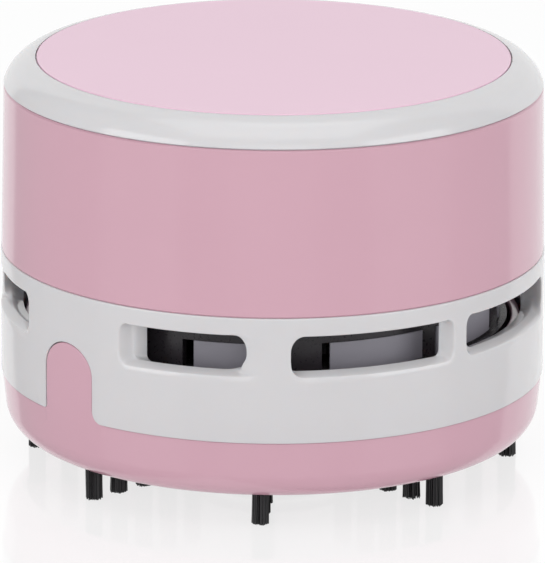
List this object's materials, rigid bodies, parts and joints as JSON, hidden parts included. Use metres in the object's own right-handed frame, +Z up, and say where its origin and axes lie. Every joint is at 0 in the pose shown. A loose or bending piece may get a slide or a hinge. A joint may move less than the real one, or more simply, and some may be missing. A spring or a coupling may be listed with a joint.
{
  "type": "desk vacuum cleaner",
  "caption": "Palm-sized round battery desk vacuum with vent slots, lift-off cap, slide switch, spinning fan and a clip-on dust tray ringed with bristles.",
  "frame": {"origin": "on the desk, below the centre of the round body", "axes": "+Z up; the latch tongues lie on X and the slide switch faces +Y"},
  "size_m": [0.0832, 0.0832, 0.063],
  "materials": {
    "pink_shell": "gloss moulded pink ABS",
    "pink_disc": "satin moulded pale pink ABS",
    "white_shell": "gloss moulded white ABS",
    "bristle_nylon": "cut black nylon bristle",
    "cage_plastic": "matte moulded black ABS",
    "screen_grey": "satin grey sheet",
    "filter_felt": "needled white felt",
    "steel_can": "zinc-plated drawn steel",
    "screw_steel": "zinc-plated screw",
    "armature_iron": "stacked iron with copper winding",
    "ferrite": "sintered ferrite",
    "motor_nylon": "natural nylon",
    "contact_metal": "nickel-plated spring steel",
    "brass_tab": "bare brass",
    "cell_metal": "plain metal cell sleeve",
    "red_wire": "red wire insulation",
    "black_wire": "black wire insulation"
  },
  "bodies": {
    "tray": {"dust_tray": "pink_shell", "intake_nozzle": "white_shell", "bristle_tufts": "bristle_nylon"},
    "housing": {"vent_housing": "white_shell", "upper_housing": "pink_shell", "motor_deck": "cage_plastic", "fan_cage": "cage_plastic", "exhaust_screens": "screen_grey", "filter_disc": "filter_felt", "filter_frame": "cage_plastic", "housing_screws": "screw_steel", "cage_screws": "screw_steel", "motor_can": "steel_can", "motor_magnets": "ferrite", "motor_end_cap": "motor_nylon", "motor_terminals": "brass_tab", "motor_retainer": "cage_plastic", "retainer_screws": "screw_steel", "battery_tray": "cage_plastic", "front_battery": "cell_metal", "rear_battery": "cell_metal", "positive_contact": "contact_metal", "negative_contact": "contact_metal", "link_contact": "contact_metal", "battery_springs": "contact_metal", "battery_lead": "red_wire", "switch_lead": "red_wire", "return_lead": "black_wire", "switch_body": "cage_plastic", "switch_terminals": "brass_tab"},
    "fan_rotor": {"impeller": "cage_plastic", "motor_shaft": "steel_can", "motor_armature": "armature_iron", "commutator": "brass_tab"},
    "top_cap": {"shoulder_ring": "white_shell", "top_disc": "pink_disc"},
    "left_latch": {"left_latch_tongue": "pink_shell"},
    "right_latch": {"right_latch_tongue": "pink_shell"},
    "switch_slider": {"switch_knob": "white_shell"}
  },
  "joints": [
    {"name": "housing_lift", "type": "slide", "parent": "tray", "child": "housing", "axis": [0, 0, 1], "range_m": [0, 0.03]},
    {"name": "cap_lift", "type": "slide", "parent": "housing", "child": "top_cap", "axis": [0, 0, 1], "range_m": [0, 0.025]},
    {"name": "fan_spin", "type": "hinge", "parent": "housing", "child": "fan_rotor", "pos_m": [0, 0, 0.0272], "axis": [0, 0, 1], "continuous": true},
    {"name": "switch_slide", "type": "slide", "parent": "housing", "child": "switch_slider", "axis": [1, 0, 0], "range_m": [0, 0.003]},
    {"name": "right_latch_press", "type": "hinge", "parent": "tray", "child": "right_latch", "pos_m": [0.0391, 0, 0.01405], "axis": [0, -1, 0], "range_deg": [0, 4], "stiffness_Nm_per_rad": 0.05},
    {"name": "left_latch_press", "type": "hinge", "parent": "tray", "child": "left_latch", "pos_m": [-0.0391, 0, 0.01405], "axis": [0, 1, 0], "range_deg": [0, 4], "stiffness_Nm_per_rad": 0.05}
  ]
}
